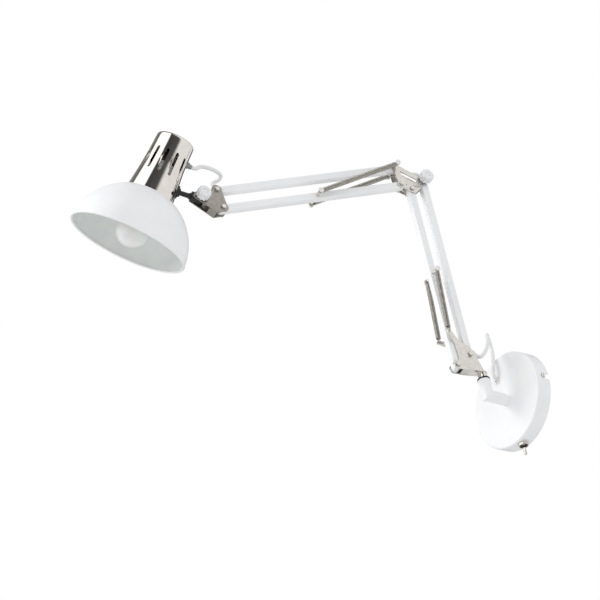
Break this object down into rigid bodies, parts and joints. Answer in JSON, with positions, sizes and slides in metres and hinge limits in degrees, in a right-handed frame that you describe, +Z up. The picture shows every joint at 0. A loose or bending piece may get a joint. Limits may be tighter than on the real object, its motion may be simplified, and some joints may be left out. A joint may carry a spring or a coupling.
{
  "type": "swing arm wall sconce",
  "caption": "Swing arm wall lamp: round canopy, spring balanced double parallelogram arm, dome shade under a slotted metal cup.",
  "frame": {"origin": "on the wall, at the centre of the canopy's back face", "axes": "+Z up, +X to the right seen from the room, +Y into the wall; the arm reaches out along -Y"},
  "size_m": [0.2674, 0.6088, 0.4771],
  "materials": {
    "white_paint": "matte",
    "nickel": "polished",
    "plate_nickel": "satin",
    "spring_steel": "satin",
    "zinc_steel": "satin",
    "black_plastic": "matte",
    "black_metal": "satin",
    "white_nylon": "satin",
    "white_cord": "matte",
    "frosted_glass": "frosted"
  },
  "bodies": {
    "wall": {"canopy": "white_paint", "wall_strap": "zinc_steel", "cover_screws": "nickel", "stub_elbow": "white_paint", "stub_nut": "zinc_steel", "switch_body": "black_plastic", "switch_collar": "nickel", "terminal_block": "white_nylon", "canopy_grommet": "white_nylon", "swivel_washer": "black_plastic", "base_cord": "white_cord"},
    "toggle": {"switch_lever": "nickel"},
    "carriage": {"lower_bracket": "plate_nickel", "swivel_pin": "nickel", "lower_pivot_screws": "nickel", "lower_pivot_washers": "zinc_steel", "lower_spring_near": "spring_steel", "lower_spring_far": "spring_steel"},
    "lower_front": {"lower_front_bar": "white_paint", "lower_front_plugs": "white_nylon", "lower_spring_pin": "nickel", "lower_spring_caps": "white_nylon"},
    "lower_rear": {"lower_rear_bar": "white_paint", "rear_bar_lead": "white_cord"},
    "elbow": {"elbow_plate_near": "plate_nickel", "elbow_plate_far": "plate_nickel", "elbow_spacer": "nickel", "elbow_pivot_screws": "nickel", "elbow_pivot_washers": "zinc_steel", "elbow_spring_studs": "nickel", "elbow_stud_caps": "white_nylon", "elbow_knob_screw": "zinc_steel", "elbow_lead": "white_cord", "upper_spring_near": "spring_steel", "upper_spring_far": "spring_steel"},
    "elbow_clamp": {"elbow_knob": "white_nylon"},
    "upper_top": {"upper_top_bar": "white_paint", "top_bar_lead": "white_cord", "head_cord": "white_cord"},
    "upper_bottom": {"upper_bottom_bar": "white_paint", "upper_bottom_plugs": "white_nylon", "upper_spring_pin": "nickel", "upper_spring_caps": "white_nylon"},
    "head_carrier": {"head_bracket": "plate_nickel", "head_pivot_screws": "nickel", "head_pivot_washers": "zinc_steel", "head_knob_screw": "zinc_steel"},
    "head_clamp": {"head_knob": "white_nylon"},
    "knuckle": {"knuckle": "black_metal"},
    "head": {"rod_flange": "black_plastic", "rod_nut": "zinc_steel", "cup": "nickel", "cup_screws": "nickel", "shade": "white_paint", "shade_ring": "white_nylon", "lampholder": "white_nylon", "bulb": "frosted_glass", "cord_gland": "black_plastic"}
  },
  "joints": [
    {"name": "base_swivel", "type": "hinge", "parent": "wall", "child": "carriage", "pos_m": [0, -0.055, 0.03], "axis": [0, 0, 1], "range_deg": [-60, 80], "deforming": ["base_cord"]},
    {"name": "toggle", "type": "hinge", "parent": "wall", "child": "toggle", "pos_m": [0, -0.011, -0.07], "axis": [1, 0, 0], "range_deg": [-12, 12]},
    {"name": "lower_arm", "type": "hinge", "parent": "carriage", "child": "lower_front", "pos_m": [-0.00688, -0.0944, 0.0438], "axis": [0.9851, -0.1719, 0], "range_deg": [-8, 45], "deforming": ["lower_spring_near", "lower_spring_far"]},
    {"name": "lower_arm_rear", "type": "hinge", "parent": "carriage", "child": "lower_rear", "pos_m": [-0.00275, -0.07076, 0.0632], "axis": [0.9851, -0.1719, 0], "range_deg": [-8, 45], "deforming": ["base_cord", "elbow_lead"]},
    {"name": "elbow_level", "type": "hinge", "parent": "lower_front", "child": "elbow", "pos_m": [-0.00761, -0.09859, 0.34777], "axis": [0.9851, -0.1719, 0], "range_deg": [-45, 8], "deforming": ["elbow_lead"]},
    {"name": "elbow_clamp", "type": "hinge", "parent": "elbow", "child": "elbow_clamp", "pos_m": [0.00342, -0.07615, 0.36717], "axis": [0.9851, -0.1719, 0], "range_deg": [-120, 120]},
    {"name": "upper_arm", "type": "hinge", "parent": "elbow", "child": "upper_top", "pos_m": [-0.01111, -0.11868, 0.38377], "axis": [0.9851, -0.1719, 0], "range_deg": [-45, 40], "deforming": ["elbow_lead", "head_cord"]},
    {"name": "upper_arm_bottom", "type": "hinge", "parent": "elbow", "child": "upper_bottom", "pos_m": [-0.01029, -0.11395, 0.35397], "axis": [0.9851, -0.1719, 0], "range_deg": [-45, 40], "deforming": ["upper_spring_near", "upper_spring_far"]},
    {"name": "head_level", "type": "hinge", "parent": "upper_top", "child": "head_carrier", "pos_m": [-0.06207, -0.41063, 0.29991], "axis": [0.9851, -0.1719, 0], "range_deg": [-40, 45], "deforming": ["head_cord"]},
    {"name": "head_clamp", "type": "hinge", "parent": "head_carrier", "child": "head_clamp", "pos_m": [-0.05956, -0.43696, 0.28391], "axis": [0.9851, -0.1719, 0], "range_deg": [-120, 120]},
    {"name": "head_tilt", "type": "hinge", "parent": "head_carrier", "child": "knuckle", "pos_m": [-0.06645, -0.43575, 0.28391], "axis": [0.9851, -0.1719, 0], "range_deg": [-50, 55], "deforming": ["head_cord"]},
    {"name": "head_turn", "type": "hinge", "parent": "knuckle", "child": "head", "pos_m": [-0.07769, -0.50014, 0.29864], "axis": [-0.1677, -0.961, 0.2198], "range_deg": [-60, 90], "deforming": ["head_cord"]}
  ],
  "couplings": [
    {"joint": "lower_arm_rear", "follows": "lower_arm", "ratio": 1},
    {"joint": "elbow_level", "follows": "lower_arm", "ratio": -1},
    {"joint": "upper_arm_bottom", "follows": "upper_arm", "ratio": 1},
    {"joint": "head_level", "follows": "upper_arm", "ratio": -1}
  ]
}
